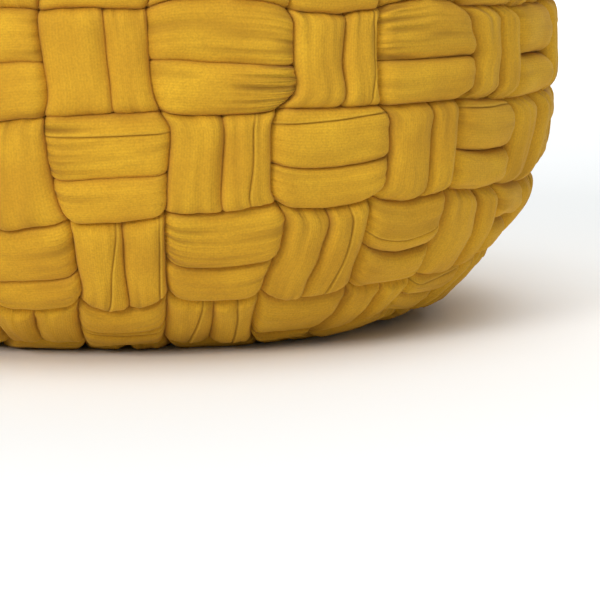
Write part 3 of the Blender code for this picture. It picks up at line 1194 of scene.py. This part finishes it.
def cloth_relief(tree, given, carried, swing):
    """Lumps of stuffing, pleats near the crossing's ends, and the lapped seam."""
    place = add_node(tree, "GeometryNodeInputPosition")
    lump = centred_noise(tree, place, given["Seed"], LUMPS, given["Lump Height"])
    cloth_place = add_node(
        tree, "ShaderNodeCombineXYZ",
        add_node(tree, "MULTIPLY", carried["along"], PLEATS_ALONG),
        add_node(tree, "MULTIPLY", carried["across"], PLEATS_ACROSS))
    pleat_seed = add_node(tree, "MULTIPLY", given["Seed"], PLEAT_SEED)
    pleat = centred_noise(tree, cloth_place, pleat_seed, 1.0, given["Pleat Depth"])
    held = add_node(tree, "MULTIPLY_ADD", near_end(tree, swing), PLEATS_AT_END, PLEATS_LEFT)
    held = add_node(tree, "MULTIPLY_ADD", carried["gather"], GATHERED_PLEATS, held)
    relief = add_node(tree, "ADD", lump, add_node(tree, "MULTIPLY", pleat, held))
    relief = add_node(tree, "ADD", relief, seam_height(tree, given, carried, swing))
    upper = add_node(tree, "MAXIMUM", carried["layer"], 0.0)
    return add_node(tree, "MULTIPLY", relief, upper)


print("three heights of a point, and a seam's relief within the last of them")

# %% [markdown]
# ## The stuffing tree
#
# The tree gives every point its height along the direction that it carries, then lifts
# whatever is below the floor up to it, because the floor presses the base flat.  Its sizes
# are named inputs, so they can be changed in Blender without opening it.

# %% Build the tree


def name_inputs(tree):
    """Give the tree its named inputs, with the sizes above, and its output."""
    kinds = {"Geometry": "NodeSocketGeometry", "Cloth": "NodeSocketMaterial"}
    for name in ("Geometry", *STUFFING, "Phase", "Seed", "Floor", "Cloth"):
        kind = kinds.get(name, "NodeSocketFloat")
        socket = tree.interface.new_socket(name, in_out="INPUT", socket_type=kind)
        if name in STUFFING:
            socket.default_value = STUFFING[name]
    tree.interface.new_socket("Geometry", in_out="OUTPUT", socket_type=kinds["Geometry"])


def stuffing_tree():
    """One tree for every tube: it stuffs the flat band and rests it on the floor."""
    tree = bpy.data.node_groups.new("stuffed_tube", "GeometryNodeTree")
    name_inputs(tree)
    given = add_node(tree, "NodeGroupInput").node.outputs
    carried = {name: add_node(tree, "GeometryNodeInputNamedAttribute", {"Name": name}, data_type="FLOAT")
               for name in STUFFING_READS}
    swing = swing_of(tree, carried["along"])
    rise = add_node(tree, "ADD", section_rise(tree, given, carried, swing),
                    weave_level(tree, given, carried, swing))
    rise = add_node(tree, "ADD", rise, cloth_relief(tree, given, carried, swing))
    outward = add_node(tree, "GeometryNodeInputNamedAttribute", {"Name": "outward"},
                       data_type="FLOAT_VECTOR")
    offset = add_node(tree, "ShaderNodeVectorMath", {0: outward, "Scale": rise}, operation="SCALE")
    shape = add_node(tree, "GeometryNodeSetPosition", {"Geometry": given["Geometry"], "Offset": offset})
    moved = add_node(tree, "GeometryNodeInputPosition")
    parts = add_node(tree, "ShaderNodeSeparateXYZ", moved).node.outputs
    lifted = add_node(tree, "MAXIMUM", parts["Z"], given["Floor"])
    pressed = add_node(tree, "ShaderNodeCombineXYZ", parts["X"], parts["Y"], lifted)
    shape = add_node(tree, "GeometryNodeSetPosition", {"Geometry": shape, "Position": pressed})
    shape = add_node(tree, "GeometryNodeSetShadeSmooth", {"Geometry": shape})
    shape = add_node(tree, "GeometryNodeRealizeInstances", {"Geometry": shape})
    shape = add_node(tree, "GeometryNodeSetMaterial", {"Geometry": shape, "Material": given["Cloth"]})
    add_node(tree, "NodeGroupOutput", {"Geometry": shape})
    return tree


stuffing = stuffing_tree()
print("the stuffing tree has", len(stuffing.nodes), "nodes")

# %% [markdown]
# ## Stuffing every tube
#
# Each flat tube gets the tree as a modifier.  Leaving it there would keep the tubes easy to
# change, but the frame wants finished shapes.  So the result is made a plain mesh, and the
# modifier is dropped.

# %% Stuff every tube
FLOOR_STEP = 0.0002      # tubes that touch the floor side by side lie this much apart in height


def set_inputs(modifier, values):
    """Set a modifier's inputs by the identifiers of their sockets."""
    for item in modifier.node_group.interface.items_tree:
        if item.item_type == "SOCKET" and item.in_out == "INPUT" and item.name in values:
            modifier[item.identifier] = values[item.name]


def as_plain_mesh(piece):
    """Turn a piece's evaluated shape into a plain mesh and drop its modifiers."""
    evaluated = piece.evaluated_get(bpy.context.evaluated_depsgraph_get())
    shape = bpy.data.meshes.new_from_object(evaluated)
    piece.modifiers.clear()
    piece.data = shape


def outward_faces(mesh):
    """Turn all faces of a closed mesh outwards."""
    work = bmesh.new()
    work.from_mesh(mesh)
    bmesh.ops.recalc_face_normals(work, faces=work.faces[:])
    work.to_mesh(mesh)
    work.free()


def stuff_tube(index, name, mesh, phase):
    outward_faces(mesh)
    piece = bpy.data.objects.new(name, mesh)
    bpy.context.scene.collection.objects.link(piece)
    modifier = piece.modifiers.new("stuffing", "NODES")
    modifier.node_group = stuffing
    set_inputs(modifier, {
        "Phase": float(phase),
        "Seed": float(index),
        "Floor": FLOOR_STEP * (index % 3),
        "Cloth": jersey_cloth,
    })
    as_plain_mesh(piece)
    return piece


stuffed = [stuff_tube(index, *tube) for index, tube in enumerate(tubes)]
print("stuffed", len(stuffed), "tubes with", sum(len(piece.data.polygons) for piece in stuffed), "faces")

# %% [markdown]
# ## Studio
#
# A plain pale floor that runs on to the horizon, under an even, dim surround.  A soft lamp
# from the left and front models the tubes, a broad one from above fills their creases, and
# two more keep the floor behind and before the stool white.  One bright sky could do all of
# it, but then the tubes would look flat.  Nothing here belongs to the stool.

# %% Floor and lights
FLOOR_REACH = 14.0
FLOOR_ROUGHNESS = 0.95
SURROUND = 0.27          # strength of the light from everywhere
LAMPS = (
    # name, place, size, power, and the place that it looks at
    ("key_light", (-1.55, -2.4, 1.45), 1.1, 46.0, (0, 0, EQUATOR)),
    ("top_light", (0.3, -0.8, 2.8), 2.2, 37.0, (0, 0, EQUATOR)),
    ("far_floor_light", (1.0, 6.5, 3.0), 8.0, 460.0, (1.0, 6.5, 0.0)),
    ("near_floor_light", (0.4, -1.5, 1.4), 1.0, 6.0, (0.4, -1.5, 0.0)),
)


def stage_floor():
    """A pale paper floor, matt and almost white."""
    mesh = bpy.data.meshes.new("floor")
    ends = (-FLOOR_REACH, FLOOR_REACH)
    mesh.from_pydata([(x, y, 0) for y in ends for x in ends], [], [(0, 1, 3, 2)])
    pale = bpy.data.materials.new("pale_paper")
    pale.use_nodes = True
    shader = pale.node_tree.nodes["Principled BSDF"]
    shader.inputs["Base Color"].default_value = linear("#FAFAFA")
    shader.inputs["Roughness"].default_value = FLOOR_ROUGHNESS
    mesh.materials.append(pale)
    floor = bpy.data.objects.new("floor", mesh)
    bpy.context.scene.collection.objects.link(floor)


def surround(strength):
    """Even light from everywhere, a little cool against the warm cloth."""
    world = bpy.data.worlds.new("surround")
    bpy.context.scene.world = world
    world.use_nodes = True
    background = world.node_tree.nodes["Background"]
    background.inputs["Color"].default_value = linear("#F2FDFF")
    background.inputs["Strength"].default_value = strength


def soft_light(name, place, size, power, target):
    """A square lamp that looks at a place."""
    light = bpy.data.objects.new(name, bpy.data.lights.new(name, "AREA"))
    light.data.size = size
    light.data.energy = power
    light.location = place
    aim = Vector(target) - Vector(place)
    light.rotation_euler = aim.to_track_quat("-Z", "Y").to_euler()
    bpy.context.scene.collection.objects.link(light)


stage_floor()
surround(SURROUND)
for lamp in LAMPS:
    soft_light(*lamp)
bpy.context.scene.view_settings.view_transform = "Standard"
print("the stage is lit by", len(LAMPS), "lamps")

# %% [markdown]
# ## Handing over
# The 42 tubes stand in for the plain woven body and ride with it.  They could be joined into
# one mesh, but a maker has 42 tubes, so they stay apart. Each is packed
# firmly, which a fill of 0.9 says.  The sizes before and after are kept for comparison.

# %% Hand the tubes to the frame
for piece in stuffed:
    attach(piece, "root")
    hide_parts("woven_body")
